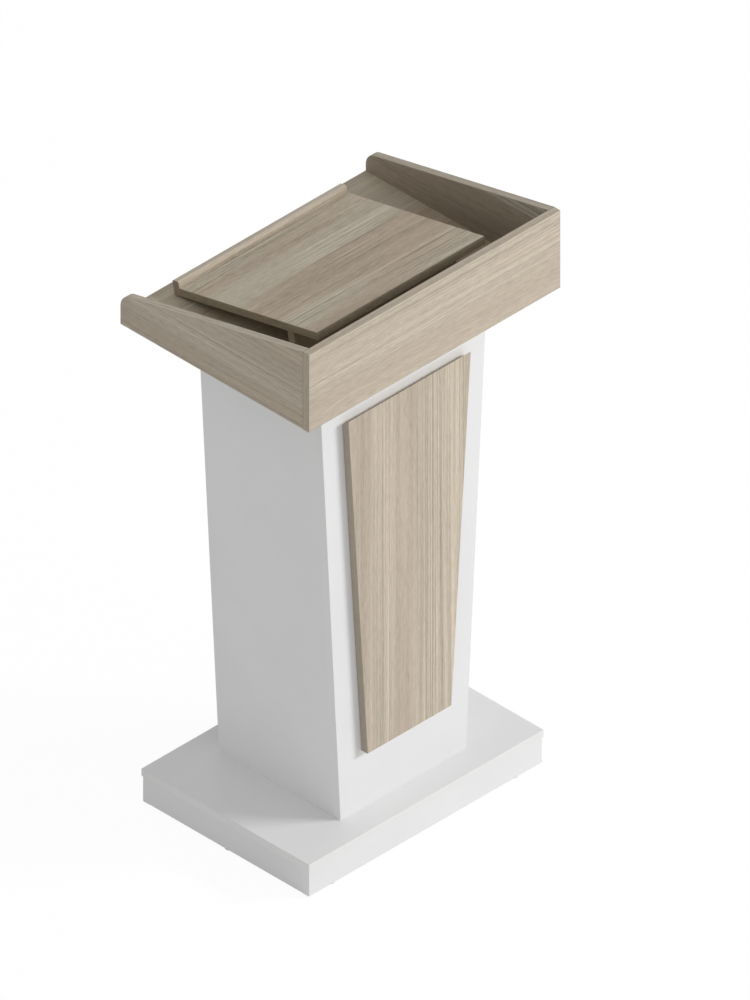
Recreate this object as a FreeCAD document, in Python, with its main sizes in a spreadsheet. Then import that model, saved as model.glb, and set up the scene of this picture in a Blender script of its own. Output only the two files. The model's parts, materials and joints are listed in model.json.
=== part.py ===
import FreeCAD, Part
import Sketcher
import math
import os
import re

# Lectern in millimetres, +Z up: a plinth base, a tapered column with open shelves at the back, and a
# walled desk tray that holds a hinged book rest. The audience is towards -Y, the speaker towards +Y.
# The origin lies on the floor under the centre of the desk tray.

SIZES = {
    # Arrises of all boards that show
    "edge_round": 1,
    # Base
    "glide_height": 3,
    "glide_diameter": 14,
    "glide_edge": 1,
    "glide_nail": 2.4,
    "glide_nail_length": 14,
    "glide_inset": 60,
    "plinth_height": 52,
    "plinth_panel": 15,
    "plinth_overhang": 2,
    "base_width": 560,
    "base_depth": 400,
    "base_board": 15,
    "base_setback": 20,
    "base_dowel_pitch": 200,
    "rail_spacing": 240,
    "rail_dowel_pitch": 26,
    "block_side": 28,
    "block_drop": 4,
    "block_screw_step": 11,
    # Column
    "column_height": 913,
    "column_top_width": 400,
    "column_foot_width": 300,
    "column_depth": 290,
    "column_panel": 15,
    "column_dowel_first": 150,
    "column_dowel_pitch": 310,
    "shelf_board": 15,
    "shelf_inset": 12,
    "fixed_shelf_height": 380,
    "loose_shelf_height": 640,
    "loose_shelf_play": 1,
    "shelf_pin": 5,
    "shelf_pin_depth": 8,
    "shelf_pin_reach": 9,
    "shelf_pin_edge": 0.6,
    "shelf_pin_spacing": 190,
    "shelf_hole_pitch": 32,
    "column_cam_spacing": 180,
    "front_cam_spacing": 120,
    "base_screw_spacing": 160,
    "deck_screw_spacing": 240,
    "column_screw_pitch": 95,
    # Decor panel on the column's front
    "decor_top_width": 293,
    "decor_foot_width": 200,
    "decor_height": 708,
    "decor_panel": 15,
    "decor_bevel": 15,
    "decor_lift": 120,
    "decor_screw_spacing": 140,
    "decor_screw_margin": 80,
    # Desk tray
    "tray_width": 600,
    "tray_depth": 450,
    "tray_panel": 15,
    "tray_front_height": 160,
    "tray_back_height": 60,
    "tray_round": 27,
    "deck_board": 25,
    "tray_side_cam_pitch": 150,
    "tray_front_cam_pitch": 140,
    "tray_dowel_low": 50,
    "tray_dowel_high": 120,
    # Book rest
    "book_width": 400,
    "book_length": 350,
    "book_board": 15,
    "book_tilt": 12.5,
    "book_setback": 30,
    "book_gap": 0.5,
    "lip_height": 28,
    "lip_board": 15,
    "lip_round": 3,
    "lip_dowel_pitch": 80,
    "prop_board": 15,
    "prop_inset": 10,
    "prop_setback": 72,
    "prop_gap": 0.3,
    "prop_dowel_pitch": 120,
    # Hinges of the book rest
    "hinge_length": 60,
    "hinge_spacing": 260,
    "hinge_leaf": 1.5,
    "hinge_leaf_width": 20,
    "hinge_corner": 3,
    "hinge_barrel": 6.4,
    "hinge_pin": 3,
    "hinge_pin_head": 5,
    "hinge_pin_head_length": 1.2,
    "hinge_fit": 0.05,
    "hinge_gap": 0.3,
    "hinge_screw": 3,
    "hinge_screw_head": 5.6,
    "hinge_screw_head_depth": 1.3,
    "hinge_screw_length": 12,
    "hinge_screw_point": 2,
    "hinge_screw_recess": 3,
    "hinge_screw_recess_width": 0.7,
    "hinge_screw_recess_depth": 1,
    "hinge_screw_pitch": 20,
    "hinge_screw_reach": 12,
    # Fasteners of the boards
    "dowel": 8,
    "dowel_in_face": 10,
    "dowel_in_edge": 20,
    "dowel_edge": 1,
    "cam": 15,
    "cam_height": 11.5,
    "cam_centre": 24,
    "cam_level": 7.5,
    "cam_slot_length": 9,
    "cam_slot_width": 2,
    "cam_slot_depth": 2.5,
    "cam_channel": 7.4,
    "cam_mouth": 0.6,
    "bolt": 6,
    "bolt_thread": 10,
    "bolt_shank": 4.6,
    "bolt_head_length": 4,
    "bolt_channel": 8,
    "screw": 4,
    "screw_head": 8,
    "screw_head_depth": 2.5,
    "screw_length": 25,
    "block_screw_length": 38,
    "screw_point": 3,
    "screw_recess": 4.4,
    "screw_recess_width": 1,
    "screw_recess_depth": 1.8,
    "drill_fit": 0.05,
    "drill_gap": 0.5,
}

# Levels and places that follow from the sizes. Local y and z of the book rest run from the lower
# back corner of its lip: y towards the speaker along the slope, z square to the board.
PLACES = {
    "plinth_top": "glide_height + plinth_height",
    "column_foot": "plinth_top + base_board",
    "column_head": "column_foot + column_height",
    "deck_top": "column_head + deck_board",
    "tray_front": "-tray_depth / 2",
    "tray_back": "tray_depth / 2",
    "tray_inner_front": "tray_front + tray_panel",
    "tray_inner_half": "tray_width / 2 - tray_panel",
    "base_front": "tray_front + base_setback",
    "base_middle": "base_front + base_depth / 2",
    "plinth_half": "base_width / 2 - plinth_overhang",
    "plinth_front": "base_front + plinth_overhang",
    "plinth_rear": "base_front + base_depth - plinth_overhang",
    "plinth_inner_half": "plinth_half - plinth_panel",
    "plinth_inner_front": "plinth_front + plinth_panel",
    "plinth_inner_rear": "plinth_rear - plinth_panel",
    "plinth_inner_depth": "plinth_inner_rear - plinth_inner_front",
    "block_height": "plinth_height - block_drop",
    "block_middle": "plinth_top - block_height / 2",
    "column_front": "base_middle - column_depth / 2",
    "column_rear": "base_middle + column_depth / 2",
    "carcass_front": "column_front + column_panel",
    "carcass_depth": "column_rear - carcass_front",
    "carcass_middle": "(carcass_front + column_rear) / 2",
    "taper": "(column_top_width - column_foot_width) / 2 / column_height",
    "side_run": "column_panel * sqrt(1 + taper ^ 2)",
    "inner_foot": "column_foot_width / 2 - side_run",
    "floor_top": "column_foot + shelf_board",
    "shelf_under": "column_foot + fixed_shelf_height",
    "loose_under": "column_foot + loose_shelf_height",
    "ceiling_under": "column_head - shelf_board",
    "decor_foot": "column_foot + decor_lift",
    "decor_top": "decor_foot + decor_height",
    "book_foot_y": "tray_back - book_setback",
    "book_foot_z": "deck_top + book_gap",
    "prop_front": "prop_setback - book_length",
    "prop_back": "prop_front + prop_board",
    "hinge_offset": "hinge_barrel / 2 + hinge_gap",
    "hinge_up": "(hinge_offset - book_gap + hinge_offset * sin(book_tilt)) / cos(book_tilt)",
    "hinge_y": "book_foot_y + hinge_offset * cos(book_tilt) + hinge_up * sin(book_tilt)",
    "hinge_z": "deck_top + hinge_offset",
    "leaf_start": "hinge_offset + hinge_gap",
    "knuckle_pitch": "hinge_length / 5",
    "knuckle_length": "knuckle_pitch - hinge_gap",
}

document = FreeCAD.newDocument("Lectern")


def cells(formula):
    """The formula with each name of a size or place written as its cell."""

    def cell(match):
        word = match.group(0)
        if word in SIZES:
            return "Sizes." + word
        return "Places." + word if word in PLACES else word

    return re.sub(r"[a-z_]+", cell, formula)


def fill_sheet(name, entries):
    sheet = document.addObject("Spreadsheet::Sheet", name)
    for row, (alias, text) in enumerate(entries, start=1):
        sheet.set(f"A{row}", alias)
        sheet.set(f"B{row}", text)
        sheet.setAlias(f"B{row}", alias)
    return sheet


fill_sheet("Sizes", [(alias, str(size)) for alias, size in SIZES.items()])
places = fill_sheet("Places", [(alias, "=" + cells(formula)) for alias, formula in PLACES.items()])
document.recompute()

nodes = {}


def bind(item, formulas):
    for path, formula in formulas.items():
        item.setExpression(path, cells(formula))
    return item


def put(item, x="0", y="0", z="0"):
    bases = {"Placement.Base.x": x, "Placement.Base.y": y, "Placement.Base.z": z}
    return bind(item, bases)


def facing(along, face):
    """The turn that points a fastener's own X axis along one direction and its Z axis at another."""
    return FreeCAD.Rotation(FreeCAD.Vector(*along), FreeCAD.Vector(), FreeCAD.Vector(*face), "XZY")


RIGHT, LEFT = (1, 0, 0), (-1, 0, 0)
BACK, FRONT = (0, 1, 0), (0, -1, 0)
UP, DOWN = (0, 0, 1), (0, 0, -1)
# Each side of the lectern with the sign of its x
SIDES = {"left": -1, "right": 1}


def node(label, item):
    item.Label = label
    nodes[label] = item
    return item


def in_book_frame(item):
    """Tilts a piece made flat in the book rest's own frame and sets it on the deck."""
    item.Placement = FreeCAD.Placement(FreeCAD.Vector(), FreeCAD.Rotation(FreeCAD.Vector(-1, 0, 0), 1))
    put(item, y="book_foot_y", z="book_foot_z")
    return bind(item, {"Placement.Rotation.Angle": "book_tilt"})


def block(name, length, width, height, x, y, z):
    item = document.addObject("Part::Box", name)
    bind(item, {"Length": length, "Width": width, "Height": height})
    return put(item, x, y, z)


def rod(name, diameter, length, start, turn, x="0", y="0", z="0"):
    """A round bar from start along the turn's X axis."""
    item = document.addObject("Part::Cylinder", name)
    lay_along_x = FreeCAD.Rotation(FreeCAD.Vector(*UP), FreeCAD.Vector(*RIGHT))
    item.Placement = FreeCAD.Placement(FreeCAD.Vector(), turn * lay_along_x)
    bind(item, {"Radius": f"({diameter}) / 2", "Height": length})
    return put(item, f"{x} + ({start})", y, z)


def origin_plane(body, role):
    return next(plane for plane in body.Origin.OriginFeatures if plane.Role == role)


def outline(body, role, corners, name):
    """A closed sketch of straight lines whose every corner is tied to the sheet."""
    sketch = body.newObject("Sketcher::SketchObject", name)
    sketch.AttachmentSupport = [(origin_plane(body, role), "")]
    sketch.MapMode = "FlatFace"
    count = len(corners)
    turns = [math.tau * step / count for step in range(count)]
    ring = [FreeCAD.Vector(math.cos(turn), math.sin(turn), 0) for turn in turns]
    for step in range(count):
        sketch.addGeometry(Part.LineSegment(ring[step], ring[(step + 1) % count]))
    for step in range(count):
        sketch.addConstraint(Sketcher.Constraint("Coincident", step, 2, (step + 1) % count, 1))
    for step, (across, up) in enumerate(corners):
        spots = (("DistanceX", across, ring[step].x), ("DistanceY", up, ring[step].y))
        for kind, formula, spot in spots:
            index = sketch.addConstraint(Sketcher.Constraint(kind, step, 1, spot))
            sketch.renameConstraint(index, f"{kind}{step}")
            bind(sketch, {f"Constraints.{kind}{step}": formula})
    return sketch


def padded(name, role, corners, length, towards_back=False):
    """A board cut to an outline and padded to its thickness or depth."""
    body = document.addObject("PartDesign::Body", name)
    sketch = outline(body, role, corners, name + "_outline")
    pad = body.newObject("PartDesign::Pad", name + "_pad")
    pad.Profile = sketch
    pad.Reversed = towards_back
    bind(pad, {"Length": length})
    return body


def turned(name, profile):
    """A round piece turned about its own X axis from corners given as place along it and radius."""
    body = document.addObject("PartDesign::Body", name)
    sketch = outline(body, "XY_Plane", profile, name + "_profile")
    turning = body.newObject("PartDesign::Revolution", name + "_turning")
    turning.Profile = sketch
    turning.ReferenceAxis = (sketch, ["H_Axis"])
    turning.Angle = 360
    return body


def rounded(body, chosen, radius):
    """Rounds the edges of a body's last feature for which chosen gives true."""
    document.recompute()
    tip = body.Tip
    names = [f"Edge{count}" for count, edge in enumerate(tip.Shape.Edges, start=1) if chosen(edge)]
    fillet = body.newObject("PartDesign::Fillet", body.Name + "_round")
    fillet.Base = (tip, names)
    bind(fillet, {"Radius": radius})
    return body


def outer_face(shape, way):
    """The face of a board that lies furthest one way."""
    return max(shape.Faces, key=lambda face: face.CenterOfMass.dot(FreeCAD.Vector(*way)))


def eased(body, shown, joined=(), radius="edge_round"):
    """Eases the arrises round the faces that show, but not those that also bound a joined face."""
    document.recompute()
    board = body.Tip.Shape
    bare = [edge for way in shown for edge in outer_face(board, way).Edges]
    covered = [edge for way in joined for edge in outer_face(board, way).Edges]

    def is_arris(edge):
        return any(map(edge.isSame, bare)) and not any(map(edge.isSame, covered))

    return rounded(body, is_arris, radius)


def slab(name, length, width, height, x, y, z):
    """A square-cut board, as a body whose arrises can be eased."""
    body = padded(name, "XY_Plane", [("0", "0"), (length, "0"), (length, width), ("0", width)], height)
    return put(body, x, y, z)


def links(master, spots):
    made = []
    for x, y, z, turn in spots:
        link = document.addObject("App::Link", master.Name + "_copy")
        link.LinkedObject = master
        link.Placement = FreeCAD.Placement(FreeCAD.Vector(), turn)
        made.append(put(link, x, y, z))
    return made


def gathered(name, items):
    compound = document.addObject("Part::Compound", name)
    compound.Links = items
    return compound


def copies(label, master, spots):
    return node(label, gathered(label, links(master, spots)))


def drilled(label, blank, tools):
    cut = document.addObject("Part::Cut", label)
    cut.Base = blank
    cut.Tool = gathered(label + "_holes", tools)
    return node(label, cut)


# Fasteners. A dowel's, bolt's or screw's own origin lies where its two boards meet or at its head,
# and its X axis points into the board that it is driven into.
dowel = turned("dowel_form", [
    ("-dowel_in_face", "0"),
    ("dowel_in_edge", "0"),
    ("dowel_in_edge", "dowel / 2 - dowel_edge"),
    ("dowel_in_edge - dowel_edge", "dowel / 2"),
    ("dowel_edge - dowel_in_face", "dowel / 2"),
    ("-dowel_in_face", "dowel / 2 - dowel_edge"),
])
dowel_hole = turned("dowel_hole", [
    ("-dowel_in_face - drill_gap", "0"),
    ("dowel_in_edge + drill_gap", "0"),
    ("dowel_in_edge + drill_gap", "dowel / 2 + drill_fit"),
    ("-dowel_in_face - drill_gap", "dowel / 2 + drill_fit"),
])


def screw(name, size, length):
    """A countersunk screw with a cross recess, and the stepped hole that it is driven into."""
    blank = turned(name + "_blank", [
        ("0", "0"),
        (length, "0"),
        (f"{length} - {size}_point", f"{size} / 2"),
        (f"{size}_head_depth", f"{size} / 2"),
        ("0", f"{size}_head / 2"),
    ])
    arms = [(f"{size}_recess", f"{size}_recess_width"), (f"{size}_recess_width", f"{size}_recess")]
    recess = [
        block(
            name + "_recess", f"{size}_recess_depth", width, height, "0", f"-{width} / 2", f"-{height} / 2")
        for width, height in arms
    ]
    form = document.addObject("Part::Cut", name + "_form")
    form.Base = blank
    form.Tool = gathered(name + "_cross", recess)
    hole = turned(name + "_hole", [
        ("0", "0"),
        (f"{length} + drill_gap", "0"),
        (f"{length} + drill_gap", f"{size} / 2 + drill_fit"),
        (f"{size}_head_depth", f"{size} / 2 + drill_fit"),
        ("0", f"{size}_head / 2 + drill_fit"),
    ])
    return form, hole


board_screw, board_screw_hole = screw("board_screw", "screw", "screw_length")
block_screw, block_screw_hole = screw("block_screw", "screw", "block_screw_length")
hinge_screw, hinge_screw_hole = screw("hinge_screw", "hinge_screw", "hinge_screw_length")

cam_bolt = turned("cam_bolt_form", [
    ("-bolt_thread", "0"),
    ("cam_centre + bolt_head_length / 2", "0"),
    ("cam_centre + bolt_head_length / 2", "bolt / 2"),
    ("cam_centre - bolt_head_length / 2", "bolt / 2"),
    ("cam_centre - bolt_head_length / 2", "bolt_shank / 2"),
    ("0", "bolt_shank / 2"),
    ("0", "bolt / 2"),
    ("-bolt_thread", "bolt / 2"),
])

# The cam is a disc that stands flush with its board's face, with a channel for the bolt's head and a
# slot for the screwdriver.
stand_up = facing(UP, LEFT)
cam_blank = rod("cam_blank", "cam", "cam_height", "cam_centre", stand_up, z="cam_level - cam_height")
cam_channel = rod(
    "cam_channel", "cam_channel", "cam / 2 + bolt_head_length", "cam_centre - cam / 2", facing(RIGHT, UP))
cam_slot = block(
    "cam_slot", "cam_slot_length", "cam_slot_width", "cam_slot_depth",
    "cam_centre - cam_slot_length / 2", "-cam_slot_width / 2", "cam_level - cam_slot_depth")
cam_disc = document.addObject("Part::Cut", "cam_form")
cam_disc.Base = cam_blank
cam_disc.Tool = gathered("cam_cuts", [cam_channel, cam_slot])

cam_pocket = rod(
    "cam_pocket", "cam + 2 * drill_fit", "cam_height + 2 * drill_gap", "cam_centre", stand_up,
    z="cam_level - cam_height - drill_gap")
bolt_channel = rod(
    "bolt_channel", "bolt_channel", "cam_centre + cam_mouth", "-cam_mouth", facing(RIGHT, UP))
bolt_hole = rod(
    "bolt_hole", "bolt + 2 * drill_fit", "bolt_thread + drill_gap", "-bolt_thread - drill_gap",
    facing(RIGHT, UP))
cam_hole = document.addObject("Part::MultiFuse", "cam_hole")
cam_hole.Shapes = [cam_pocket, bolt_channel, bolt_hole]

# Base: four plinth boards on edge, two rails under the column, corner blocks and the base board.
glide = turned("glide_form", [
    ("-glide_height", "0"),
    ("glide_nail_length", "0"),
    ("glide_nail_length - glide_nail", "glide_nail / 2"),
    ("0", "glide_nail / 2"),
    ("0", "glide_diameter / 2"),
    ("glide_edge - glide_height", "glide_diameter / 2"),
    ("-glide_height", "glide_diameter / 2 - glide_edge"),
])
glide_hole = turned("glide_hole", [
    ("0", "0"),
    ("glide_nail_length + drill_gap", "0"),
    ("glide_nail_length + drill_gap", "glide_nail / 2 + drill_fit"),
    ("0", "glide_nail / 2 + drill_fit"),
])
front_line = "plinth_front + plinth_panel / 2"
rear_line = "plinth_rear - plinth_panel / 2"
side_line = "(plinth_half - plinth_panel / 2)"
glide_spots = []
base_dowel_spots = []
rail_dowel_spots = []
block_screw_spots = []
block_blanks = []
for line in (front_line, rear_line):
    for sign in SIDES.values():
        glide_spots.append((f"{sign} * (plinth_half - glide_inset)", line, "glide_height", facing(UP, LEFT)))
    for step in (-1, 0, 1):
        base_dowel_spots.append((f"{step} * base_dowel_pitch", line, "plinth_top", facing(DOWN, RIGHT)))
for sign in SIDES.values():
    glide_spots.append((f"{sign} * {side_line}", "base_middle", "glide_height", facing(UP, LEFT)))
    base_dowel_spots.append((f"{sign} * {side_line}", "base_middle", "plinth_top", facing(DOWN, RIGHT)))
    for joint, inward in (("plinth_inner_front", BACK), ("plinth_inner_rear", FRONT)):
        for step in (-1, 1):
            level = f"glide_height + plinth_height / 2 + {step} * rail_dowel_pitch / 2"
            rail_dowel_spots.append((f"{sign} * rail_spacing / 2", joint, level, facing(inward, UP)))
    for joint, sense, outward in (("plinth_inner_front", 1, FRONT), ("plinth_inner_rear", -1, BACK)):
        block_x = f"{sign} * (plinth_inner_half - block_side / 2)"
        block_y = f"({joint} + {sense} * block_side / 2)"
        block_blanks.append(block(
            "corner_block", "block_side", "block_side", "block_height", f"{block_x} - block_side / 2",
            f"{block_y} - block_side / 2", "plinth_top - block_height"))
        block_screw_spots.append((
            block_x, f"{joint} + {sense} * block_side", "block_middle + block_screw_step",
            facing(outward, UP)))
        block_screw_spots.append((
            f"{sign} * (plinth_inner_half - block_side)", block_y, "block_middle - block_screw_step",
            facing((sign, 0, 0), UP)))
copies("floor_glides", glide, glide_spots)
copies("plinth_dowels", dowel, base_dowel_spots + rail_dowel_spots)
copies("plinth_block_screws", block_screw, block_screw_spots)
glide_holes = links(glide_hole, glide_spots)
base_dowel_holes = links(dowel_hole, base_dowel_spots)
rail_dowel_holes = links(dowel_hole, rail_dowel_spots)
block_holes = links(block_screw_hole, block_screw_spots)
plinth_holes = glide_holes + base_dowel_holes + rail_dowel_holes + block_holes
drilled("plinth_corner_blocks", gathered("corner_blocks", block_blanks), block_holes)
plinth_faces = (
    ("plinth_front_board", "plinth_front", FRONT), ("plinth_rear_board", "plinth_inner_rear", BACK))
for label, line, outward in plinth_faces:
    blank = slab(
        label + "_blank", "2 * plinth_half", "plinth_panel", "plinth_height", "-plinth_half", line,
        "glide_height")
    eased(blank, [outward], [UP])
    drilled(label, blank, plinth_holes)


def plinth_crosspiece(label, middle):
    """A board on edge from the front plinth board to the rear one."""
    return slab(
        label + "_blank", "plinth_panel", "plinth_inner_depth", "plinth_height",
        f"{middle} - plinth_panel / 2", "plinth_inner_front", "glide_height")


for side, sign in SIDES.items():
    side_blank = plinth_crosspiece(f"plinth_{side}_board", f"{sign} * {side_line}")
    eased(side_blank, [(sign, 0, 0)], [UP, FRONT, BACK])
    drilled(f"plinth_{side}_board", side_blank, plinth_holes)
    rail_blank = plinth_crosspiece(f"plinth_{side}_rail", f"{sign} * rail_spacing / 2")
    drilled(f"plinth_{side}_rail", rail_blank, rail_dowel_holes)

base_screw_spots = []
deck_screw_spots = []
for sign in SIDES.values():
    for step in (-1, 0, 1):
        along = f"carcass_middle + {step} * column_screw_pitch"
        base_screw_spots.append((
            f"{sign} * base_screw_spacing / 2", along, "plinth_top", facing(UP, LEFT)))
        deck_screw_spots.append((
            f"{sign} * deck_screw_spacing / 2", along, "ceiling_under", facing(UP, LEFT)))
copies("column_base_screws", board_screw, base_screw_spots)
base_screw_holes = links(board_screw_hole, base_screw_spots)
base_blank = slab(
    "base_board_blank", "base_width", "base_depth", "base_board", "-base_width / 2", "base_front",
    "plinth_top")
eased(base_blank, [UP, DOWN, FRONT, BACK])
drilled("base_board", base_blank, base_dowel_holes + base_screw_holes)

# Column: two slanted sides behind a front panel, tied by a floor, a fixed shelf and a ceiling board
# whose ends are cut to the slant. A loose shelf lies on pins in one of five rows of holes.


def inner_half(level):
    return f"(inner_foot + ({level} - column_foot) * taper)"


def between_sides(name, under, play, inset, joined):
    """A board between the slanted sides, with play at its ends and front, set back at the rear."""
    over = f"({under} + shelf_board)"
    body = padded(name, "XZ_Plane", [
        (f"{play} - {inner_half(under)}", under),
        (f"{inner_half(under)} - {play}", under),
        (f"{inner_half(over)} - {play}", over),
        (f"{play} - {inner_half(over)}", over),
    ], f"carcass_depth - {play} - {inset}", towards_back=True)
    eased(body, [BACK], joined)
    return put(body, y=f"carcass_front + {play}")


cam_boards = (
    ("column_foot", "floor_top - cam_level", UP),
    ("shelf_under", "shelf_under + cam_level", DOWN),
    ("ceiling_under", "ceiling_under + cam_level", DOWN),
)
column_cam_spots = []
for under, level, face in cam_boards:
    for sign in SIDES.values():
        for step in (-1, 1):
            column_cam_spots.append((
                f"{sign} * {inner_half(level)}", f"carcass_middle + {step} * column_cam_spacing / 2", level,
                facing((-sign, 0, 0), face)))
        column_cam_spots.append((
            f"{sign} * front_cam_spacing / 2", "carcass_front", level, facing(BACK, face)))
column_dowel_spots = []
for sign in SIDES.values():
    for step in range(3):
        level = f"(column_foot + column_dowel_first + {step} * column_dowel_pitch)"
        column_dowel_spots.append((
            f"{sign} * ({inner_half(level)} + side_run / 2)", "carcass_front", level, facing(BACK, UP)))
decor_screw_spots = []
for sign in SIDES.values():
    for share in (0, 0.5, 1):
        level = f"decor_foot + decor_screw_margin + {share} * (decor_height - 2 * decor_screw_margin)"
        decor_screw_spots.append((
            f"{sign} * decor_screw_spacing / 2", "carcass_front", level, facing(FRONT, UP)))
pin_hole_spots = []
pin_spots = []
for sign in SIDES.values():
    for step in (-1, 1):
        for row in (-2, -1, 0, 1, 2):
            level = f"(loose_under - shelf_pin / 2 + {row} * shelf_hole_pitch)"
            spot = (
                f"{sign} * {inner_half(level)}", f"carcass_middle + {step} * shelf_pin_spacing / 2", level,
                facing((sign, 0, 0), UP))
            pin_hole_spots.append(spot)
            if row == 0:
                pin_spots.append(spot)
shelf_pin = turned("shelf_pin_form", [
    ("-shelf_pin_reach", "0"),
    ("shelf_pin_depth", "0"),
    ("shelf_pin_depth", "shelf_pin / 2 - shelf_pin_edge"),
    ("shelf_pin_depth - shelf_pin_edge", "shelf_pin / 2"),
    ("shelf_pin_edge - shelf_pin_reach", "shelf_pin / 2"),
    ("-shelf_pin_reach", "shelf_pin / 2 - shelf_pin_edge"),
])
shelf_pin_hole = turned("shelf_pin_hole", [
    ("-cam_mouth", "0"),
    ("shelf_pin_depth + drill_gap", "0"),
    ("shelf_pin_depth + drill_gap", "shelf_pin / 2 + drill_fit"),
    ("-cam_mouth", "shelf_pin / 2 + drill_fit"),
])
copies("column_cam_bolts", cam_bolt, column_cam_spots)
copies("column_cam_discs", cam_disc, column_cam_spots)
copies("column_dowels", dowel, column_dowel_spots)
copies("shelf_pins", shelf_pin, pin_spots)
copies("decor_panel_screws", board_screw, decor_screw_spots)
copies("deck_screws", board_screw, deck_screw_spots)
column_cam_holes = links(cam_hole, column_cam_spots)
column_dowel_holes = links(dowel_hole, column_dowel_spots)
decor_screw_holes = links(board_screw_hole, decor_screw_spots)
deck_screw_holes = links(board_screw_hole, deck_screw_spots)
pin_holes = links(shelf_pin_hole, pin_hole_spots)

for side, sign in SIDES.items():
    label = f"column_{side}_side"
    blank = padded(label + "_blank", "XZ_Plane", [
        (f"{sign} * column_foot_width / 2", "column_foot"),
        (f"{sign} * column_top_width / 2", "column_head"),
        (f"{sign} * (column_top_width / 2 - side_run)", "column_head"),
        (f"{sign} * (column_foot_width / 2 - side_run)", "column_foot"),
    ], "carcass_depth", towards_back=True)
    eased(blank, [BACK], [UP, DOWN])
    put(blank, y="carcass_front")
    drilled(label, blank, column_cam_holes + column_dowel_holes + pin_holes)

front_blank = padded("column_front_blank", "XZ_Plane", [
    ("-column_foot_width / 2", "column_foot"),
    ("column_foot_width / 2", "column_foot"),
    ("column_top_width / 2", "column_head"),
    ("-column_top_width / 2", "column_head"),
], "column_panel", towards_back=True)
eased(front_blank, [FRONT], [UP, DOWN])
put(front_blank, y="column_front")
drilled("column_front_panel", front_blank, column_cam_holes + column_dowel_holes + decor_screw_holes)

floor_blank = between_sides("column_floor_blank", "column_foot", "0", "0", [LEFT, RIGHT, DOWN])
drilled("column_floor_board", floor_blank, column_cam_holes + base_screw_holes)
shelf_blank = between_sides("fixed_shelf_blank", "shelf_under", "0", "shelf_inset", [LEFT, RIGHT])
drilled("column_fixed_shelf", shelf_blank, column_cam_holes)
ceiling_blank = between_sides("column_ceiling_blank", "ceiling_under", "0", "0", [LEFT, RIGHT, UP])
drilled("column_ceiling_board", ceiling_blank, column_cam_holes + deck_screw_holes)
loose_shelf = between_sides(
    "loose_shelf", "loose_under", "loose_shelf_play", "shelf_inset", [LEFT, RIGHT])
node("column_loose_shelf", loose_shelf)

# Decor panel: a narrower tapered board on the column's front, undercut along its top edge.
decor_blank = padded("decor_blank", "XZ_Plane", [
    ("-decor_foot_width / 2", "decor_foot"),
    ("decor_foot_width / 2", "decor_foot"),
    ("decor_top_width / 2", "decor_top"),
    ("-decor_top_width / 2", "decor_top"),
], "decor_panel", towards_back=True)
bevel_sketch = outline(decor_blank, "YZ_Plane", [
    ("0", "decor_top"),
    ("decor_panel", "decor_top"),
    ("decor_panel", "decor_top - decor_bevel"),
], "decor_bevel_outline")
bevel = decor_blank.newObject("PartDesign::Pocket", "decor_bevel")
bevel.Profile = bevel_sketch
bevel.SideType = "Symmetric"
bind(bevel, {"Length": "2 * decor_top_width"})
eased(decor_blank, [FRONT], [UP])
put(decor_blank, y="column_front - decor_panel")
drilled("decor_panel", decor_blank, decor_screw_holes)

# Desk tray: a deck on the column's head, with sloping sides and a front panel that covers their ends.
tray_cam_level = "column_head + cam_level"
tray_cam_spots = []
for sign in SIDES.values():
    for step in (-1, 0, 1):
        tray_cam_spots.append((
            f"{sign} * tray_inner_half", f"{step} * tray_side_cam_pitch", tray_cam_level,
            facing((-sign, 0, 0), DOWN)))
for step in (-1.5, -0.5, 0.5, 1.5):
    tray_cam_spots.append((
        f"{step} * tray_front_cam_pitch", "tray_inner_front", tray_cam_level, facing(BACK, DOWN)))
tray_dowel_spots = []
for sign in SIDES.values():
    for level in ("tray_dowel_low", "tray_dowel_high"):
        tray_dowel_spots.append((
            f"{sign} * (tray_width - tray_panel) / 2", "tray_inner_front", f"column_head + {level}",
            facing(BACK, UP)))
copies("tray_cam_bolts", cam_bolt, tray_cam_spots)
copies("tray_cam_discs", cam_disc, tray_cam_spots)
copies("tray_dowels", dowel, tray_dowel_spots)
tray_cam_holes = links(cam_hole, tray_cam_spots)
tray_dowel_holes = links(dowel_hole, tray_dowel_spots)

hinge_centres = {side: f"{sign} * hinge_spacing / 2" for side, sign in SIDES.items()}
hinge_screw_steps = [f"{step} * hinge_screw_pitch" for step in (-1, 0, 1)]
deck_leaf_screw_spots = []
lip_leaf_screw_spots = []
for centre in hinge_centres.values():
    for step in hinge_screw_steps:
        deck_leaf_screw_spots.append((
            f"{centre} + {step}", "hinge_y + hinge_screw_reach", "deck_top + hinge_leaf",
            facing(DOWN, RIGHT)))
        lip_leaf_screw_spots.append((
            f"{centre} + {step}", "hinge_leaf", "hinge_up + hinge_screw_reach", facing(FRONT, UP)))
deck_leaf_screw_holes = links(hinge_screw_hole, deck_leaf_screw_spots)
lip_leaf_screw_holes = links(hinge_screw_hole, lip_leaf_screw_spots)

deck_blank = slab(
    "deck_blank", "2 * tray_inner_half", "tray_back - tray_inner_front", "deck_board",
    "-tray_inner_half", "tray_inner_front", "column_head")
eased(deck_blank, [BACK], [LEFT, RIGHT])
drilled("tray_deck", deck_blank, tray_cam_holes + deck_screw_holes + deck_leaf_screw_holes)
tray_front_blank = slab(
    "tray_front_blank", "tray_width", "tray_panel", "tray_front_height", "-tray_width / 2", "tray_front",
    "column_head")
eased(tray_front_blank, [FRONT, UP])
drilled("tray_front_panel", tray_front_blank, tray_cam_holes + tray_dowel_holes)
back_corner_y = float(places.get("tray_back"))
back_corner_z = float(places.get("column_head")) + SIZES["tray_back_height"]


def is_back_corner(edge):
    middle = edge.CenterOfMass
    return math.hypot(middle.y - back_corner_y, middle.z - back_corner_z) < Part.Precision.confusion()


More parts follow.
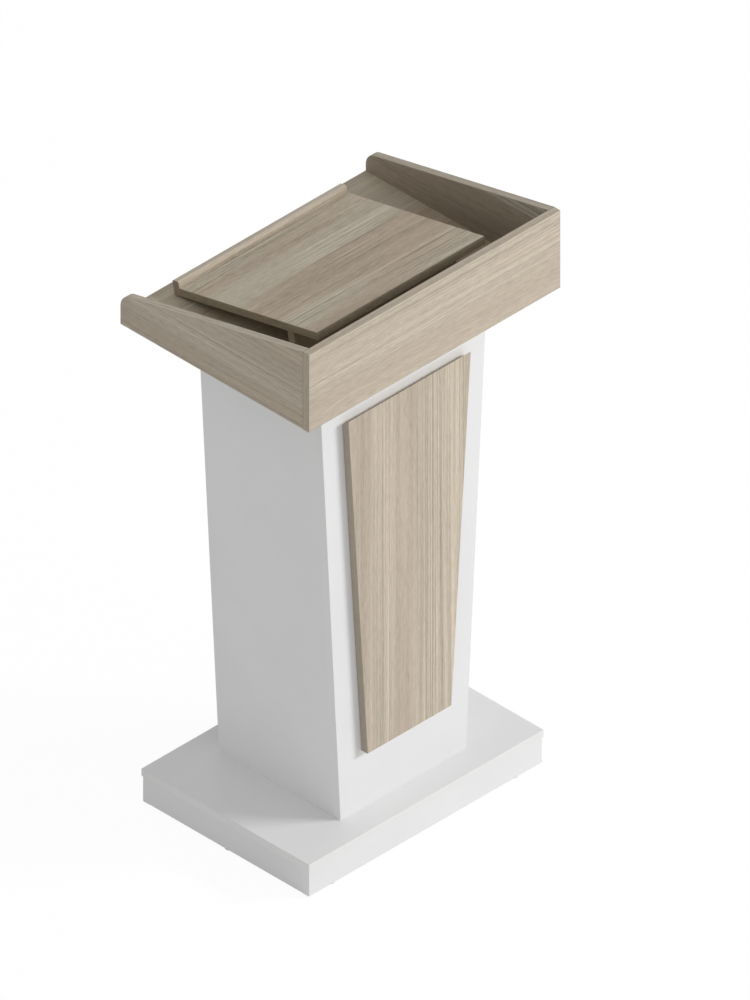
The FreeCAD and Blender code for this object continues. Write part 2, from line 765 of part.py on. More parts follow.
for side, start in (("left", "-tray_width / 2"), ("right", "tray_inner_half")):
    label = f"tray_{side}_side"
    blank = padded(label + "_blank", "YZ_Plane", [
        ("tray_inner_front", "column_head"),
        ("tray_back", "column_head"),
        ("tray_back", "column_head + tray_back_height"),
        ("tray_inner_front", "column_head + tray_front_height"),
    ], "tray_panel")
    rounded(blank, is_back_corner, "tray_round")
    eased(blank, [LEFT, RIGHT], [FRONT])
    put(blank, x=start)
    drilled(label, blank, tray_cam_holes + tray_dowel_holes)

# Book rest: a board with a lip along its lower edge and a prop panel under its upper part. It lies
# flat in its own frame here and is tilted as a whole.
lip_dowel_spots = [
    (f"{step} * lip_dowel_pitch", "-lip_board", "book_board / 2", facing(FRONT, UP)) for step in range(-2, 3)
]
prop_dowel_spots = [
    (f"{step} * prop_dowel_pitch", "prop_front + prop_board / 2", "0", facing(DOWN, RIGHT))
    for step in (-1, 0, 1)
]
in_book_frame(copies("lip_dowels", dowel, lip_dowel_spots))
in_book_frame(copies("prop_dowels", dowel, prop_dowel_spots))
lip_dowel_holes = links(dowel_hole, lip_dowel_spots)
prop_dowel_holes = links(dowel_hole, prop_dowel_spots)
book_blank = slab(
    "book_board_blank", "book_width", "book_length - lip_board", "book_board", "-book_width / 2",
    "-book_length", "0")
eased(book_blank, [UP, DOWN, FRONT], [BACK])
in_book_frame(drilled("book_board", book_blank, lip_dowel_holes + prop_dowel_holes))
lip_blank = padded("book_lip_blank", "YZ_Plane", [
    ("-lip_board", "0"),
    ("0", "0"),
    ("0", "lip_height"),
    ("-lip_board", "lip_height"),
], "book_width")
rounded(
    lip_blank,
    lambda edge: edge.BoundBox.ZMin > SIZES["lip_height"] / 2 and edge.BoundBox.XLength > SIZES["lip_height"],
    "lip_round")
put(lip_blank, x="-book_width / 2")
in_book_frame(drilled("book_lip", lip_blank, lip_dowel_holes + lip_leaf_screw_holes))


def prop_foot(across):
    """Local height of the prop's foot, which is cut level to stand on the deck."""
    return f"(prop_gap - book_gap + ({across}) * sin(book_tilt)) / cos(book_tilt)"


prop_blank = padded("book_prop_blank", "YZ_Plane", [
    ("prop_front", "0"),
    ("prop_front", prop_foot("prop_front")),
    ("prop_back", prop_foot("prop_back")),
    ("prop_back", "0"),
], "book_width - 2 * prop_inset")
put(prop_blank, x="prop_inset - book_width / 2")
in_book_frame(drilled("book_prop", prop_blank, prop_dowel_holes))

# Butt hinges: two leaves with interleaved knuckles on a headed pin. A leaf is made lying flat with
# the pin's axis along X at its origin and its wood side downwards.
leaf_screw_spots = [
    (step, "hinge_screw_reach", "hinge_leaf - hinge_offset", facing(DOWN, RIGHT))
    for step in hinge_screw_steps
]
along_x = facing(RIGHT, UP)


def hinge_leaf(name, knuckles):
    plate = slab(
        name + "_plate", "hinge_length", "hinge_leaf_width - leaf_start", "hinge_leaf",
        "-hinge_length / 2", "leaf_start", "-hinge_offset")
    pieces = [eased(plate, [BACK], [UP, DOWN], "hinge_corner")]
    for count in knuckles:
        start = f"-hinge_length / 2 + {count} * knuckle_pitch + hinge_gap / 2"
        pieces.append(block(
            f"{name}_tab", "knuckle_length", "leaf_start", "hinge_leaf", start, "0", "-hinge_offset"))
        pieces.append(rod(f"{name}_knuckle", "hinge_barrel", "knuckle_length", start, along_x))
    whole = document.addObject("Part::MultiFuse", name + "_blank")
    whole.Shapes = pieces
    bore = rod(
        name + "_bore", "hinge_pin + 2 * hinge_fit", "2 * hinge_length", "-hinge_length", along_x)
    leaf = document.addObject("Part::Cut", name)
    leaf.Base = whole
    leaf.Tool = gathered(name + "_holes", [bore] + links(hinge_screw_hole, leaf_screw_spots))
    return leaf


deck_leaf = hinge_leaf("deck_leaf_form", (0, 2, 4))
lip_leaf = hinge_leaf("lip_leaf_form", (1, 3))
hinge_pin = turned("hinge_pin_form", [
    ("-hinge_length / 2 - hinge_pin_head_length", "0"),
    ("hinge_length / 2 + hinge_pin_head_length", "0"),
    ("hinge_length / 2 + hinge_pin_head_length", "hinge_pin_head / 2"),
    ("hinge_length / 2", "hinge_pin_head / 2"),
    ("hinge_length / 2", "hinge_pin / 2"),
    ("-hinge_length / 2", "hinge_pin / 2"),
    ("-hinge_length / 2", "hinge_pin_head / 2"),
    ("-hinge_length / 2 - hinge_pin_head_length", "hinge_pin_head / 2"),
])
for side, centre in hinge_centres.items():
    copies(f"{side}_hinge_deck_leaf", deck_leaf, [(centre, "hinge_y", "hinge_z", along_x)])
    copies(f"{side}_hinge_pin", hinge_pin, [(centre, "hinge_y", "hinge_z", along_x)])
    lip_leaf_spot = (centre, "hinge_offset", "hinge_up", facing(LEFT, BACK))
    in_book_frame(copies(f"{side}_hinge_lip_leaf", lip_leaf, [lip_leaf_spot]))
copies("hinge_deck_screws", hinge_screw, deck_leaf_screw_spots)
in_book_frame(copies("hinge_lip_screws", hinge_screw, lip_leaf_screw_spots))

document.recompute()
for item in document.Objects:
    if {"Invalid", "Error"} & set(item.State):
        raise RuntimeError(f"{item.Label} did not compute: {item.State}")
if not bevel.Shape.Volume < decor_blank.Group[1].Shape.Volume:
    raise RuntimeError("the decor panel's bevel cuts nothing")
for label, item in nodes.items():
    if item.Shape.isNull() or not item.Shape.isValid() or not item.Shape.Solids:
        raise RuntimeError(f"{label} has no sound shape")

os.makedirs("parts", exist_ok=True)
for label, item in nodes.items():
    item.Shape.exportStep(f"parts/{label}.step")
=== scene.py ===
# A free-standing lectern of melamine-faced boards: a white plinth base, a white tapered column with open
# shelves at the back, a pale oak panel on its front, and an oak desk tray with a hinged book rest.
import json

import bpy
from mathutils import Color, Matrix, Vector

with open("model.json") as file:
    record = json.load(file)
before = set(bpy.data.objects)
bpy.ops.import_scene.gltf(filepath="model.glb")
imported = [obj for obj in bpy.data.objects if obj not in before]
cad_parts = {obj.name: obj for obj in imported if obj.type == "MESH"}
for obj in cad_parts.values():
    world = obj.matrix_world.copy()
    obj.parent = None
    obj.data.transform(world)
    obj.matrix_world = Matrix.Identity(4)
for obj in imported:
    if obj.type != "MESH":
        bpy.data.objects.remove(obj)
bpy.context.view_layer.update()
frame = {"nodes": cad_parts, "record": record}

# Floor glides
# Six round feet of white moulded plastic. Each has a nail through its middle that is driven into the
# lower edge of a plinth board, and its running face is scuffed by the floor.


def tone(hex_digits):
    """A colour written as sRGB hex digits, in the linear values that shaders take."""
    red, green, blue = (part / 255 for part in bytes.fromhex(hex_digits))
    return (*Color((red, green, blue)).from_srgb_to_scene_linear(), 1.0)


def give(tree, socket, value):
    """Feeds a socket from another one, or sets it to a plain value."""
    if isinstance(value, bpy.types.NodeSocket):
        tree.links.new(value, socket)
    else:
        socket.default_value = value


def add(tree, kind, inputs=None, **settings):
    """A new node of a tree. Each input is given a plain value or the socket that feeds it."""
    node = tree.nodes.new("ShaderNode" + kind)
    for name, value in settings.items():
        setattr(node, name, value)
    for name, value in (inputs or {}).items():
        give(tree, node.inputs[name], value)
    return node


def feed(tree, node, **inputs):
    """Gives values or sockets to the inputs of a node that have the same names."""
    for name, value in inputs.items():
        give(tree, node.inputs[name.replace("_", " ")], value)


def reckon(tree, operation, *values):
    """The result of a Math node."""
    return add(tree, "Math", dict(enumerate(values)), operation=operation).outputs[0]


def spread(tree, value, low, high, new_low=0.0, new_high=1.0):
    """A value that goes from new_low to new_high while the one it follows goes from low to high."""
    limits = {"From Min": low, "From Max": high, "To Min": new_low, "To Max": new_high}
    return add(tree, "MapRange", {"Value": value, **limits}).outputs[0]


def mixed(tree, share, first, second):
    """A colour between two others."""
    first_input, second_input, colour_output = 6, 7, 2
    inputs = {"Factor": share, first_input: first, second_input: second}
    return add(tree, "Mix", inputs, data_type="RGBA").outputs[colour_output]


def speckle(tree, place, density, detail=2.0, crispness=0.5):
    """Cloudy noise from 0 to 1 with so many spots to the metre, and finer ones as far as detail goes."""
    inputs = {"Vector": place, "Scale": density, "Detail": detail, "Roughness": crispness}
    return add(tree, "TexNoise", inputs).outputs[0]


def raised(tree, height, depth):
    """Surface normals of a relief as deep as depth, in metres."""
    return add(tree, "Bump", {"Height": height, "Distance": depth}).outputs[0]


def new_material(name):
    """A new material with a soft gloss: the material, its node tree and its shader."""
    soft_gloss = 0.25
    made = bpy.data.materials.new(name)
    made.use_nodes = True
    shader = made.node_tree.nodes["Principled BSDF"]
    shader.inputs["Specular IOR Level"].default_value = soft_gloss
    return made, made.node_tree, shader


def object_place(tree):
    """Place on the object in metres, which stays with the piece when it moves."""
    return add(tree, "TexCoord").outputs["Object"]


def finish(material, *names):
    """Gives a material to the CAD nodes of these names."""
    for name in names:
        frame["nodes"][name].material_slots[0].material = material


moulding_depth = 0.00005
glide_plastic, tree, shader = new_material("glide_plastic")
place = object_place(tree)
moulding = speckle(tree, place, density=900, detail=3.0)
scuffs = speckle(tree, place, density=260, detail=4.0)
glide_colour = mixed(tree, spread(tree, scuffs, 0.5, 0.75), tone("e4e3df"), tone("b8b5ae"))
glide_roughness = spread(tree, scuffs, 0.35, 0.7, new_low=0.38, new_high=0.62)
glide_relief = raised(tree, moulding, moulding_depth)
feed(tree, shader, Base_Color=glide_colour, Roughness=glide_roughness, Normal=glide_relief)
finish(glide_plastic, "floor_glides")

# Plinth
# Four boards of white melamine-faced chipboard stand on edge under the base board, doweled to it and
# screwed together through corner blocks. The edges that show carry a white edge band with eased arrises.


def effect_group(name, inputs, outputs):
    """A new node group with named sockets: its tree, what it is given and what it puts out."""
    group = bpy.data.node_groups.new(name, "ShaderNodeTree")
    for socket, kind, value in inputs:
        made = group.interface.new_socket(name=socket, in_out="INPUT", socket_type="NodeSocket" + kind)
        made.default_value = value
    for socket, kind in outputs:
        group.interface.new_socket(name=socket, in_out="OUTPUT", socket_type="NodeSocket" + kind)
    given = group.nodes.new("NodeGroupInput").outputs
    return group, given, group.nodes.new("NodeGroupOutput").inputs


def put_out(group, wanted, **results):
    """Links what a group has worked out to its outputs of the same names."""
    for name, socket in results.items():
        group.links.new(socket, wanted[name.replace("_", " ")])


def placed(tree, group, **values):
    """A group placed in a material, with its own values or the sockets that feed it."""
    node = add(tree, "Group", node_tree=group)
    feed(tree, node, **values)
    return node.outputs


def vector(tree, operation, first, second):
    """The vector result of a Vector Math node."""
    return add(tree, "VectorMath", {0: first, 1: second}, operation=operation).outputs["Vector"]


def scaled(tree, colour, factor):
    """A colour or vector made larger or smaller by a factor."""
    return add(tree, "VectorMath", {0: colour, "Scale": factor}, operation="SCALE").outputs["Vector"]


# A seam place this many metres away is on no board, so it draws no seam.
no_seam = 10.0


def board_frame_group():
    """A board's own directions. Place is along and across the grain and through the board, and on narrow
    sides it runs along their bands. Edge is 1 on those sides and End on those across the grain. Glue
    Line marks the fine joint between a face and its band, and Seam where an edge meets the next board."""
    group, given, wanted = effect_group(
        "Board Frame",
        (("Grain", "Vector", (1, 0, 0)), ("Face", "Vector", (0, 0, 1)), ("Shift", "Vector", (0, 0, 0)),
         ("Seam Place", "Float", no_seam)),
        (("Place", "Vector"), ("Edge", "Float"), ("End", "Float"), ("Glue Line", "Float"),
         ("Seam", "Float")))
    spot = add(group, "TexCoord").outputs

    def share(of, direction):
        """How much of a place or normal lies in a direction."""
        return add(group, "VectorMath", {0: of, 1: direction}, operation="DOT_PRODUCT").outputs["Value"]

    along = share(spot["Object"], given["Grain"])
    across = share(spot["Object"], vector(group, "CROSS_PRODUCT", given["Face"], given["Grain"]))
    through = share(spot["Object"], given["Face"])

    # Leans are cosines: 1 where the surface looks straight along the direction, 0 where it is square to it.
    edge_starts, edge_full = 0.985, 0.955
    glue_starts, glue_full = 0.80, 0.93
    least_on_face, least_at_end = 0.97, 0.65
    face_lean = reckon(group, "ABSOLUTE", share(spot["Normal"], given["Face"]))
    end_lean = reckon(group, "ABSOLUTE", share(spot["Normal"], given["Grain"]))
    edge = spread(group, face_lean, edge_starts, edge_full)
    glue = reckon(group, "MULTIPLY", edge, spread(group, face_lean, glue_starts, glue_full))
    on_face = reckon(group, "GREATER_THAN", face_lean, least_on_face)
    at_end = reckon(group, "GREATER_THAN", end_lean, least_at_end)

    turn = reckon(group, "SUBTRACT", across, along)
    run = reckon(group, "MULTIPLY_ADD", turn, at_end, along)
    flat = {"X": run, "Y": reckon(group, "MULTIPLY", across, on_face), "Z": through}
    shifted = vector(group, "ADD", add(group, "CombineXYZ", flat).outputs[0], given["Shift"])

    seam_ends, seam_full = 0.0014, 0.0007
    off_seam = reckon(group, "ABSOLUTE", reckon(group, "SUBTRACT", through, given["Seam Place"]))
    seam = reckon(group, "MULTIPLY", edge, spread(group, off_seam, seam_ends, seam_full))
    put_out(group, wanted, Place=shifted, Edge=edge, End=at_end, Glue_Line=glue, Seam=seam)
    return group


def melamine_group():
    """Faint clouding of a plain melamine face, with the fine pearl texture of its press plate."""
    group, given, wanted = effect_group(
        "Melamine",
        (("Place", "Vector", (0, 0, 0)), ("Edge", "Float", 0.0), ("Glue Line", "Float", 0.0),
         ("Face Colour", "Color", (1, 1, 1, 1)), ("Cloud Colour", "Color", (1, 1, 1, 1)),
         ("Band Colour", "Color", (1, 1, 1, 1)), ("Glue Colour", "Color", (0, 0, 0, 1))),
        (("Color", "Color"), ("Roughness", "Float"), ("Height", "Float")))
    glue_strength = 0.5
    cloud = speckle(group, given["Place"], density=5, detail=5.0)
    pearl = speckle(group, given["Place"], density=1100, detail=1.0)
    rubbing = speckle(group, given["Place"], density=24, detail=4.0)
    face = mixed(group, spread(group, cloud, 0.35, 0.65), given["Face Colour"], given["Cloud Colour"])
    banded = mixed(group, given["Edge"], face, given["Band Colour"])
    glue = reckon(group, "MULTIPLY", given["Glue Line"], glue_strength)
    glued = mixed(group, glue, banded, given["Glue Colour"])
    rubbed = spread(group, rubbing, 0.35, 0.7, new_low=0.40, new_high=0.52)
    put_out(group, wanted, Color=glued, Roughness=rubbed, Height=pearl)
    return group


ALONG_X, ALONG_Y, UPRIGHT = (1, 0, 0), (0, 1, 0), (0, 0, 1)
board_frame = board_frame_group()
melamine = melamine_group()


def white_board(name, grain, face):
    """White melamine on a board whose length runs one way and whose faces look another."""
    pearl_depth = 0.00002
    made, tree, shader = new_material(name)
    board = placed(tree, board_frame, Grain=grain, Face=face)
    surface = placed(
        tree, melamine, Place=board["Place"], Edge=board["Edge"], Glue_Line=board["Glue Line"],
        Face_Colour=tone("ececec"), Cloud_Colour=tone("e9e9ea"), Band_Colour=tone("ebebea"),
        Glue_Colour=tone("b9b7b2"))
    relief = raised(tree, surface["Height"], pearl_depth)
    feed(tree, shader, Base_Color=surface["Color"], Roughness=surface["Roughness"], Normal=relief)
    return made


white_across = white_board("white_board_across", ALONG_X, ALONG_Y)
white_deep = white_board("white_board_deep", ALONG_Y, ALONG_X)
finish(white_across, "plinth_front_board", "plinth_rear_board")
finish(white_deep, "plinth_left_board", "plinth_right_board")

# Rails and corner blocks
# Two rails carry the base board under the column, and four blocks hold the plinth's corners. They are
# bare sawn softwood, glued and screwed or doweled in place.


def straight_grain_group():
    """Straight-grained timber along X. Broad bands warm the tone, and streaks, clusters of fine lines,
    short dashes, light rays and dark pores make it lighter or darker."""
    group, given, wanted = effect_group(
        "Straight Grain",
        (("Place", "Vector", (0, 0, 0)), ("Tone", "Color", (1, 1, 1, 1)), ("Warm", "Color", (1, 1, 1, 1)),
         ("Bands", "Float", 14.0), ("Streaks", "Float", 75.0), ("Lines", "Float", 200.0),
         ("Turns", "Float", 1.0), ("Band Share", "Float", 0.15), ("Streak Share", "Float", 0.35),
         ("Line Share", "Float", 0.8), ("Dash Share", "Float", 0.5), ("Pore Share", "Float", 0.12)),
        (("Color", "Color"), ("Roughness", "Float"), ("Height", "Float"), ("Shade", "Float")))
    most_drift = 0.002
    wander = speckle(group, given["Place"], density=1.2)
    drift = spread(group, wander, 0.0, 1.0, new_low=-most_drift, new_high=most_drift)
    bent = vector(group, "ADD", given["Place"], add(group, "CombineXYZ", {"Y": drift}).outputs[0])

    def drawn_out(along, across, detail=1.0, crispness=0.5):
        """Noise with so many turns to the metre along the grain and across it."""
        ratio = add(group, "CombineXYZ", {"X": along, "Y": across, "Z": across}).outputs[0]
        stretched = vector(group, "MULTIPLY", bent, ratio)
        return speckle(group, stretched, density=1.0, detail=detail, crispness=crispness)

    def turns(number):
        """Turns along the grain, more or fewer as the board asks."""
        return reckon(group, "MULTIPLY", given["Turns"], number)

    bands = drawn_out(along=turns(0.8), across=given["Bands"])
    streaks = drawn_out(along=turns(1.6), across=given["Streaks"], detail=3.0, crispness=0.6)
    clusters = spread(group, drawn_out(along=turns(1.2), across=14.0), 0.42, 0.58)
    lines = drawn_out(along=turns(1.5), across=given["Lines"], detail=3.0, crispness=0.7)
    dashes = drawn_out(along=45.0, across=550.0, detail=2.0, crispness=0.7)
    rays = spread(group, drawn_out(along=turns(2.0), across=160.0), 0.64, 0.72)
    pores = spread(group, drawn_out(along=40.0, across=1500.0), 0.58, 0.70)
    swings = (
        (bands, given["Band Share"]),
        (streaks, given["Streak Share"]),
        (lines, reckon(group, "MULTIPLY", given["Line Share"], clusters)),
        (dashes, given["Dash Share"]),
    )
    noise_middle = 0.5
    ray_brightness = 1.07
    shade = spread(group, rays, 0.0, 1.0, new_low=1.0, new_high=ray_brightness)
    for pattern, share in swings:
        swing = reckon(group, "SUBTRACT", pattern, noise_middle)
        shade = reckon(group, "MULTIPLY_ADD", swing, share, shade)
    shade = reckon(group, "SUBTRACT", shade, reckon(group, "MULTIPLY", pores, given["Pore Share"]))
    warmed = mixed(group, spread(group, bands, 0.58, 0.42), given["Tone"], given["Warm"])
    shaded = scaled(group, warmed, shade)
    sheen = spread(group, streaks, 0.3, 0.7, new_low=0.60, new_high=0.50)
    line_height = 0.4
    height = reckon(group, "SUBTRACT", reckon(group, "MULTIPLY", lines, line_height), pores)
    put_out(group, wanted, Color=shaded, Roughness=sheen, Height=height, Shade=shade)
    return group


straight_grain = straight_grain_group()


def bare_wood(name, grain, pale, warm, bands, streaks, lines):
    """Bare timber with its grain along one direction, and so many bands, streaks and lines to the metre."""
    sawn_depth = 0.0002
    made, tree, shader = new_material(name)
    board = placed(tree, board_frame, Grain=grain, Face=UPRIGHT)
    wood = placed(
        tree, straight_grain, Place=board["Place"], Tone=tone(pale), Warm=tone(warm), Bands=bands,
        Streaks=streaks, Lines=lines, Band_Share=0.5, Streak_Share=0.7, Line_Share=0.8)
    matt = spread(tree, wood["Roughness"], 0.5, 0.6, new_low=0.62, new_high=0.78)
    relief = raised(tree, wood["Height"], sawn_depth)
    feed(tree, shader, Base_Color=wood["Color"], Roughness=matt, Normal=relief)
    return made


softwood = bare_wood(
    "raw_softwood", ALONG_Y, pale="d6bb8e", warm="bf9763", bands=60.0, streaks=180.0, lines=500.0)
finish(softwood, "plinth_left_rail", "plinth_right_rail", "plinth_corner_blocks")

# Dowels
# Beech pegs of 8 mm, turned, chamfered at both ends and glued into drilled holes to line up the boards.
# They are too small for broad grain, so theirs is finer.
beech = bare_wood(
    "beech_dowel", ALONG_Y, pale="d3a576", warm="bb8654", bands=150.0, streaks=400.0, lines=900.0)
finish(beech, "plinth_dowels", "column_dowels", "tray_dowels", "lip_dowels", "prop_dowels")

# Screws, cam bolts and shelf pins
# Countersunk chipboard screws and turned bolts and pins, all of steel with a bright zinc plating that is
# a little uneven and dulls in patches.


def plating_group():
    """Plated or cast metal: a patchy tone, rougher where it is dull, and a grain in the surface."""
    group, given, wanted = effect_group(
        "Plating",
        (("Place", "Vector", (0, 0, 0)), ("Bright", "Color", (1, 1, 1, 1)), ("Dull", "Color", (0, 0, 0, 1)),
         ("Smooth", "Float", 0.2), ("Rough", "Float", 0.5), ("Grain", "Float", 900.0)),
        (("Color", "Color"), ("Roughness", "Float"), ("Height", "Float")))
    patches = speckle(group, given["Place"], density=190, detail=4.0)
    dullness = spread(group, patches, 0.35, 0.68)
    colour = mixed(group, dullness, given["Bright"], given["Dull"])
    roughening = reckon(group, "SUBTRACT", given["Rough"], given["Smooth"])
    roughness = reckon(group, "MULTIPLY_ADD", dullness, roughening, given["Smooth"])
    grain = speckle(group, given["Place"], given["Grain"])
    put_out(group, wanted, Color=colour, Roughness=roughness, Height=grain)
    return group


plating = plating_group()


def plated_metal(name, bright, dull, smooth, rough, grain, depth):
    """Metal between two tones and two roughnesses, with so much grain to the metre, so deep in metres."""
    made, tree, shader = new_material(name)
    metal = placed(
        tree, plating, Place=object_place(tree), Bright=tone(bright), Dull=tone(dull), Smooth=smooth,
        Rough=rough, Grain=grain)
    feed(
        tree, shader, Base_Color=metal["Color"], Roughness=metal["Roughness"], Metallic=1.0,
        Normal=raised(tree, metal["Height"], depth))
    return made


zinc_steel = plated_metal(
    "zinc_plated_steel", bright="c6c7c6", dull="a2a39e", smooth=0.28, rough=0.45, grain=1400.0,
    depth=0.000006)
finish(
    zinc_steel, "plinth_block_screws", "column_base_screws", "decor_panel_screws", "deck_screws",
    "column_cam_bolts", "tray_cam_bolts", "shelf_pins")

# Base board
# One white melamine-faced board that lies on the plinth, doweled to it, and stands 2 mm proud of it all
# round. All four edges are banded.
white_flat = white_board("white_board_flat", ALONG_X, UPRIGHT)
finish(white_flat, "base_board")

# Column
# Two slanted sides behind one tapered front panel, tied by a floor, a fixed shelf and a ceiling board,
# with a loose shelf on pins. All are white melamine-faced board, cammed and doweled together.
white_front = white_board("white_board_front", UPRIGHT, ALONG_Y)
white_side = white_board("white_board_side", UPRIGHT, ALONG_X)
finish(white_front, "column_front_panel")
finish(white_side, "column_left_side", "column_right_side")
finish(white_flat, "column_floor_board", "column_fixed_shelf", "column_ceiling_board", "column_loose_shelf")

# Cam discs
# Die-cast zinc discs, flush in the hidden faces of the boards. A quarter turn with a screwdriver draws in
# the head of a cam bolt.
cast_zinc = plated_metal(
    "cast_zinc", bright="bfc1c3", dull="96989b", smooth=0.38, rough=0.58, grain=1900.0, depth=0.00006)
finish(cast_zinc, "column_cam_discs", "tray_cam_discs")

# Decor panel
# A narrower tapered board on the front of the column, screwed on from inside. It is faced with pale
# oak-grain melamine that runs upright. Its long edges carry a darker band, painted shade for its shaded
# left edge, and its ends a paler one, which throws light back into the groove above the panel.


def oak_board(name, grain, face, shift, pale, warm, band, end_band=None, seam_place=no_seam, **shares):
    """Oak-grain melamine on a board, with its print shifted so that no two boards look alike. Its edges
    carry a band, and those across the grain an end band where one is given."""
    glue_strength, seam_strength = 0.45, 0.85
    print_depth = 0.00005
    made, tree, shader = new_material(name)
    board = placed(tree, board_frame, Grain=grain, Face=face, Shift=shift, Seam_Place=seam_place)
    oak = placed(tree, straight_grain, Place=board["Place"], Tone=tone(pale), Warm=tone(warm), **shares)
    band_colour = mixed(tree, board["End"], tone(band), tone(end_band or band))
    edging = scaled(tree, band_colour, oak["Shade"])
    banded = mixed(tree, board["Edge"], oak["Color"], edging)
    glue = reckon(tree, "MULTIPLY", board["Glue Line"], glue_strength)
    dark_lines = reckon(tree, "MULTIPLY_ADD", board["Seam"], seam_strength, glue)
    glued = mixed(tree, dark_lines, banded, tone("8b7d6b"))
    relief = raised(tree, oak["Height"], print_depth)
    feed(tree, shader, Base_Color=glued, Roughness=oak["Roughness"], Normal=relief)
    return made


# The darker band paints the shade on the panel's left edge beside the column.
decor_oak = oak_board(
    "oak_decor_panel", UPRIGHT, ALONG_Y, shift=(0.0, 0.0, 0.0), pale="c3b7a5", warm="c1b3a2", band="aea494",
    end_band="efe7da", Lines=340.0, Turns=0.7, Band_Share=0.18, Streak_Share=0.55, Line_Share=1.6,
    Dash_Share=0.55)
finish(decor_oak, "decor_panel")

# Desk tray
# A deck on the column's head, two sloping sides with rounded rear corners and a front panel that covers
# their ends. The boards are cammed and doweled, and their grain runs along each board's length.
# The deck is toned darker than the front panel: painted shade of the inside of the tray.
deck_oak = oak_board(
    "oak_deck", ALONG_X, UPRIGHT, shift=(0.7, 1.3, 0.4), pale="b3a996", warm="ad9d89", band="b0a593")
finish(deck_oak, "tray_deck")

front_panel_back = max(corner[1] for corner in frame["nodes"]["tray_front_panel"].bound_box)
front_oak = oak_board(
    "oak_tray_front", ALONG_X, ALONG_Y, shift=(1.9, 2.2, 0.8), pale="c3b8a6", warm="c3b5a3", band="b8ac9b",
    seam_place=front_panel_back, Lines=330.0, Turns=0.6, Band_Share=0.16, Streak_Share=0.36,
    Line_Share=1.25, Dash_Share=0.65)
finish(front_oak, "tray_front_panel")

left_oak = oak_board(
    "oak_tray_left", ALONG_Y, ALONG_X, shift=(2.6, 3.1, 1.2), pale="c0b8a8", warm="b6aa98", band="b8ae9d",
    Band_Share=0.2, Streak_Share=0.34, Line_Share=1.15, Dash_Share=0.8)
finish(left_oak, "tray_left_side")

# The right side is toned darker than the left one: painted shade of its inner face, which looks away from
# the lamp into the tray.
right_oak = oak_board(
    "oak_tray_right", ALONG_Y, ALONG_X, shift=(3.3, 0.6, 2.1), pale="aba294", warm="a19483", band="aea494",
    Lines=260.0, Band_Share=0.2, Streak_Share=0.5, Line_Share=3.6, Dash_Share=0.6)
finish(right_oak, "tray_right_side")

# Book rest
# A tilted board with a lip along its lower edge that keeps the book from sliding, and a prop panel under
# its upper part. Lip and prop are doweled and glued on square to it, and the whole lifts on its hinges.
book_face = next(mount for mount in frame["record"]["mounts"] if mount["name"] == "book_surface")["axis"]
lip_face = (0.0, book_face[2], -book_face[1])
# The book board is toned darker than the front panel, painted shade of the tray's inside. Its edge band is
# darker still: partly the band's own tone, partly painted shade of its edges in the front panel's shadow.
book_oak = oak_board(
    "oak_book_board", ALONG_X, book_face, shift=(4.2, 1.7, 0.3), pale="b7ae9c", warm="b3a390",
    band="918775", Lines=300.0, Turns=2.5, Band_Share=0.2, Streak_Share=0.5, Line_Share=1.9,
    Dash_Share=1.0)
finish(book_oak, "book_board")

# The lip's ends are toned darker than its other edges: painted shade of the end that faces the left wall.
lip_oak = oak_board(
    "oak_book_lip", ALONG_X, lip_face, shift=(5.1, 2.5, 1.4), pale="c3b8a6", warm="bbad9b", band="bcb1a1",
    end_band="998a7c", Streak_Share=0.6, Line_Share=1.6)
finish(lip_oak, "book_lip")

# The prop is toned darkest of the oak boards: painted shade of the hollow under the book board.
prop_oak = oak_board(
    "oak_book_prop", ALONG_X, lip_face, shift=(5.8, 3.4, 1.9), pale="a89e8e", warm="a19281", band="a89e8e")
finish(prop_oak, "book_prop")

# Butt hinges
# Two hinges of nickel-plated pressed steel. One leaf of each is screwed to the deck and one to the lip,
# and their knuckles turn on a headed pin.
hinge_steel = plated_metal(
    "nickel_plated_steel", bright="b6b3ac", dull="a39f96", smooth=0.32, rough=0.42, grain=1200.0,
    depth=0.000005)
finish(
    hinge_steel, "left_hinge_deck_leaf", "right_hinge_deck_leaf", "left_hinge_lip_leaf",
    "right_hinge_lip_leaf", "left_hinge_pin", "right_hinge_pin", "hinge_deck_screws", "hinge_lip_screws")

# Studio
# A wide white floor, a long strip lamp at the audience's right and an even dome of light. What the camera
# sees beyond the lectern is white, with a faint shadow on the floor.


def shows_white(tree):
    """1 for the rays that should meet a white background: the camera's, and those of gloss and glass."""
    path = add(tree, "LightPath").outputs
    seen = reckon(tree, "MAXIMUM", path["Is Camera Ray"], path["Is Glossy Ray"])
    return reckon(tree, "MAXIMUM", seen, path["Is Transmission Ray"])


def surface_of(tree, output, share, usual, shown):
    """Makes a surface of the usual shader and, for a share of each ray, of the one that is shown."""
    whole = add(tree, "MixShader", {0: share, 1: usual.outputs[0], 2: shown.outputs[0]})
    tree.links.new(whole.outputs[0], tree.nodes[output].inputs["Surface"])


def stand(name, data, direction, target, distance):
    """A lamp or camera that looks along a direction at a target from a distance."""
    made = bpy.data.objects.new(name, data)
    made.rotation_mode = "QUATERNION"
    made.rotation_quaternion = direction.to_track_quat("-Z", "Y")
    made.location = target - direction * distance
    bpy.context.scene.collection.objects.link(made)
    return made


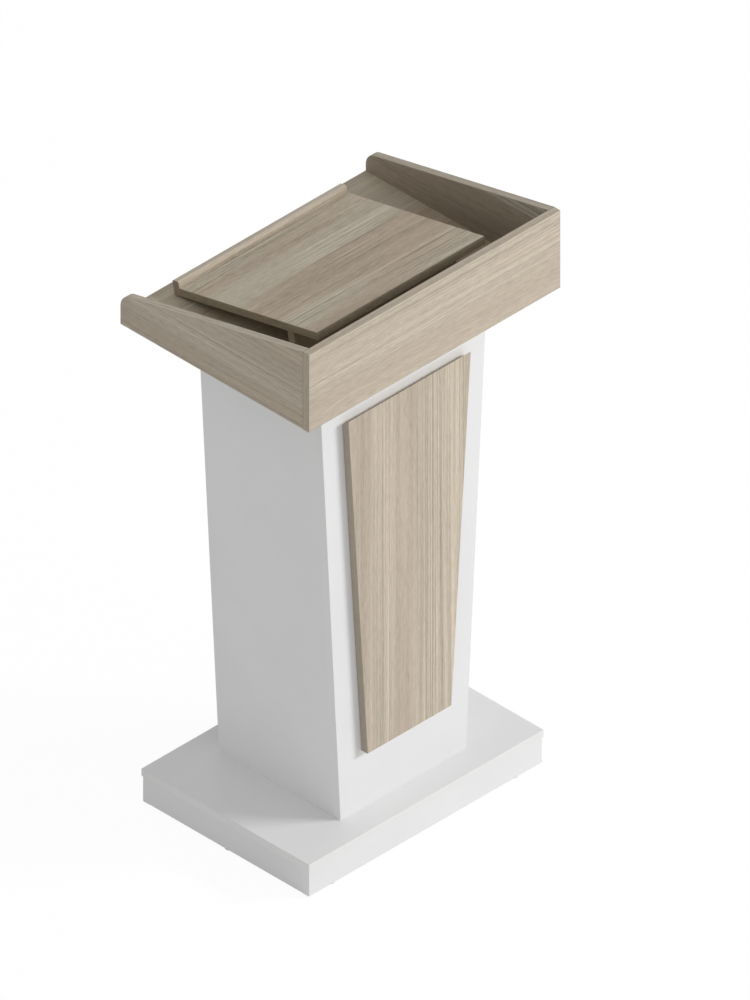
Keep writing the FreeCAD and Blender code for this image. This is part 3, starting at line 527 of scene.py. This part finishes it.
white = (1, 1, 1, 1)
floor_half = 20.0
floor_glow, glow_share = 1.03, 0.9
floor_mesh = bpy.data.meshes.new("studio_floor")
corners = [(-1, -1), (1, -1), (1, 1), (-1, 1)]
floor_mesh.from_pydata([(x * floor_half, y * floor_half, 0) for x, y in corners], [], [(0, 1, 2, 3)])
floor = bpy.data.objects.new("studio_floor", floor_mesh)
bpy.context.scene.collection.objects.link(floor)
floor_paint, tree, shader = new_material("studio_floor")
feed(tree, shader, Base_Color=tone("f4f4f4"), Roughness=1.0, Specular_IOR_Level=0.0)
glow = add(tree, "Emission", {"Color": white, "Strength": floor_glow})
surface_of(tree, "Material Output", reckon(tree, "MULTIPLY", shows_white(tree), glow_share), shader, glow)
floor_mesh.materials.append(floor_paint)

lectern_middle = Vector((0.0, 0.0, 0.57))
key_direction = Vector((-1.0, 1.0, -0.7)).normalized()
key = bpy.data.lights.new("key", "AREA")
key.shape = "RECTANGLE"
key.size = 3.8
key.size_y = 0.6
key.energy = 753.0
stand("key", key, key_direction, lectern_middle, distance=12.0)

dome_strength, backdrop_strength = 0.55, 1.0
world = bpy.data.worlds.new("studio")
world.use_nodes = True
tree = world.node_tree
dome = tree.nodes["Background"]
feed(tree, dome, Color=white, Strength=dome_strength)
backdrop = add(tree, "Background", {"Color": white, "Strength": backdrop_strength})
surface_of(tree, "World Output", shows_white(tree), dome, backdrop)
bpy.context.scene.world = world

# The camera looks down an equal slant on all three axes, without perspective. The picture's middle is so
# many metres to the right of the frame's origin and above it, as the picture runs.
looking = Vector((1, 1, -1)).normalized()
image_right = Vector((1, -1, 0)).normalized()
image_up = Vector((1, 1, 2)).normalized()
middle_right, middle_up = 0.05842, 0.47505
picture_height = 1.6861
camera = bpy.data.cameras.new("camera")
camera.type = "ORTHO"
camera.ortho_scale = picture_height
picture_middle = image_right * middle_right + image_up * middle_up
bpy.context.scene.camera = stand("camera", camera, looking, picture_middle, distance=4.0)
bpy.context.scene.view_settings.view_transform = "Standard"
